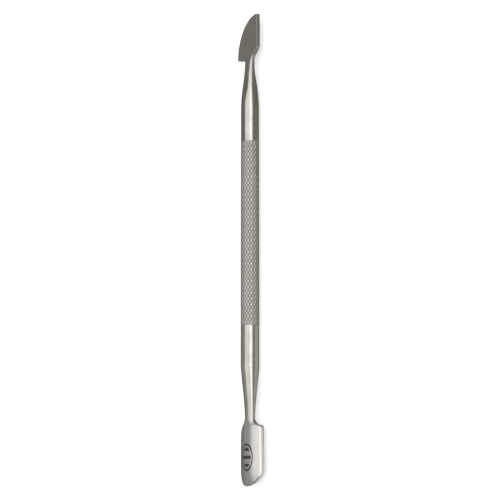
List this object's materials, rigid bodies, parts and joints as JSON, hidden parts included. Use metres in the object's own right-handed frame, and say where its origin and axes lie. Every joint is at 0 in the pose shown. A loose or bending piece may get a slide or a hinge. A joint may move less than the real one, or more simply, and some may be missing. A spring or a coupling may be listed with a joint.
{
  "type": "cuticle pusher",
  "caption": "Double-ended steel manicure tool: a hollow-ground cuticle pusher and a nail cleaning knife on a slim knurled handle.",
  "frame": {"origin": "under the middle of the tool's overall length, on the line the handle's grip lies on", "axes": "+X along the tool towards the nail knife, +Y towards the knife's cutting edge, +Z out of the back, the pusher's convex side"},
  "size_m": [0.13, 0.009, 0.0051],
  "materials": {
    "polished_steel": "machined and tumble-polished stainless steel",
    "satin_steel": "fine-ground satin stainless steel"
  },
  "bodies": {
    "root": {"handle_tube": "polished_steel", "pusher_end": "satin_steel", "knife_end": "satin_steel"}
  },
  "joints": []
}
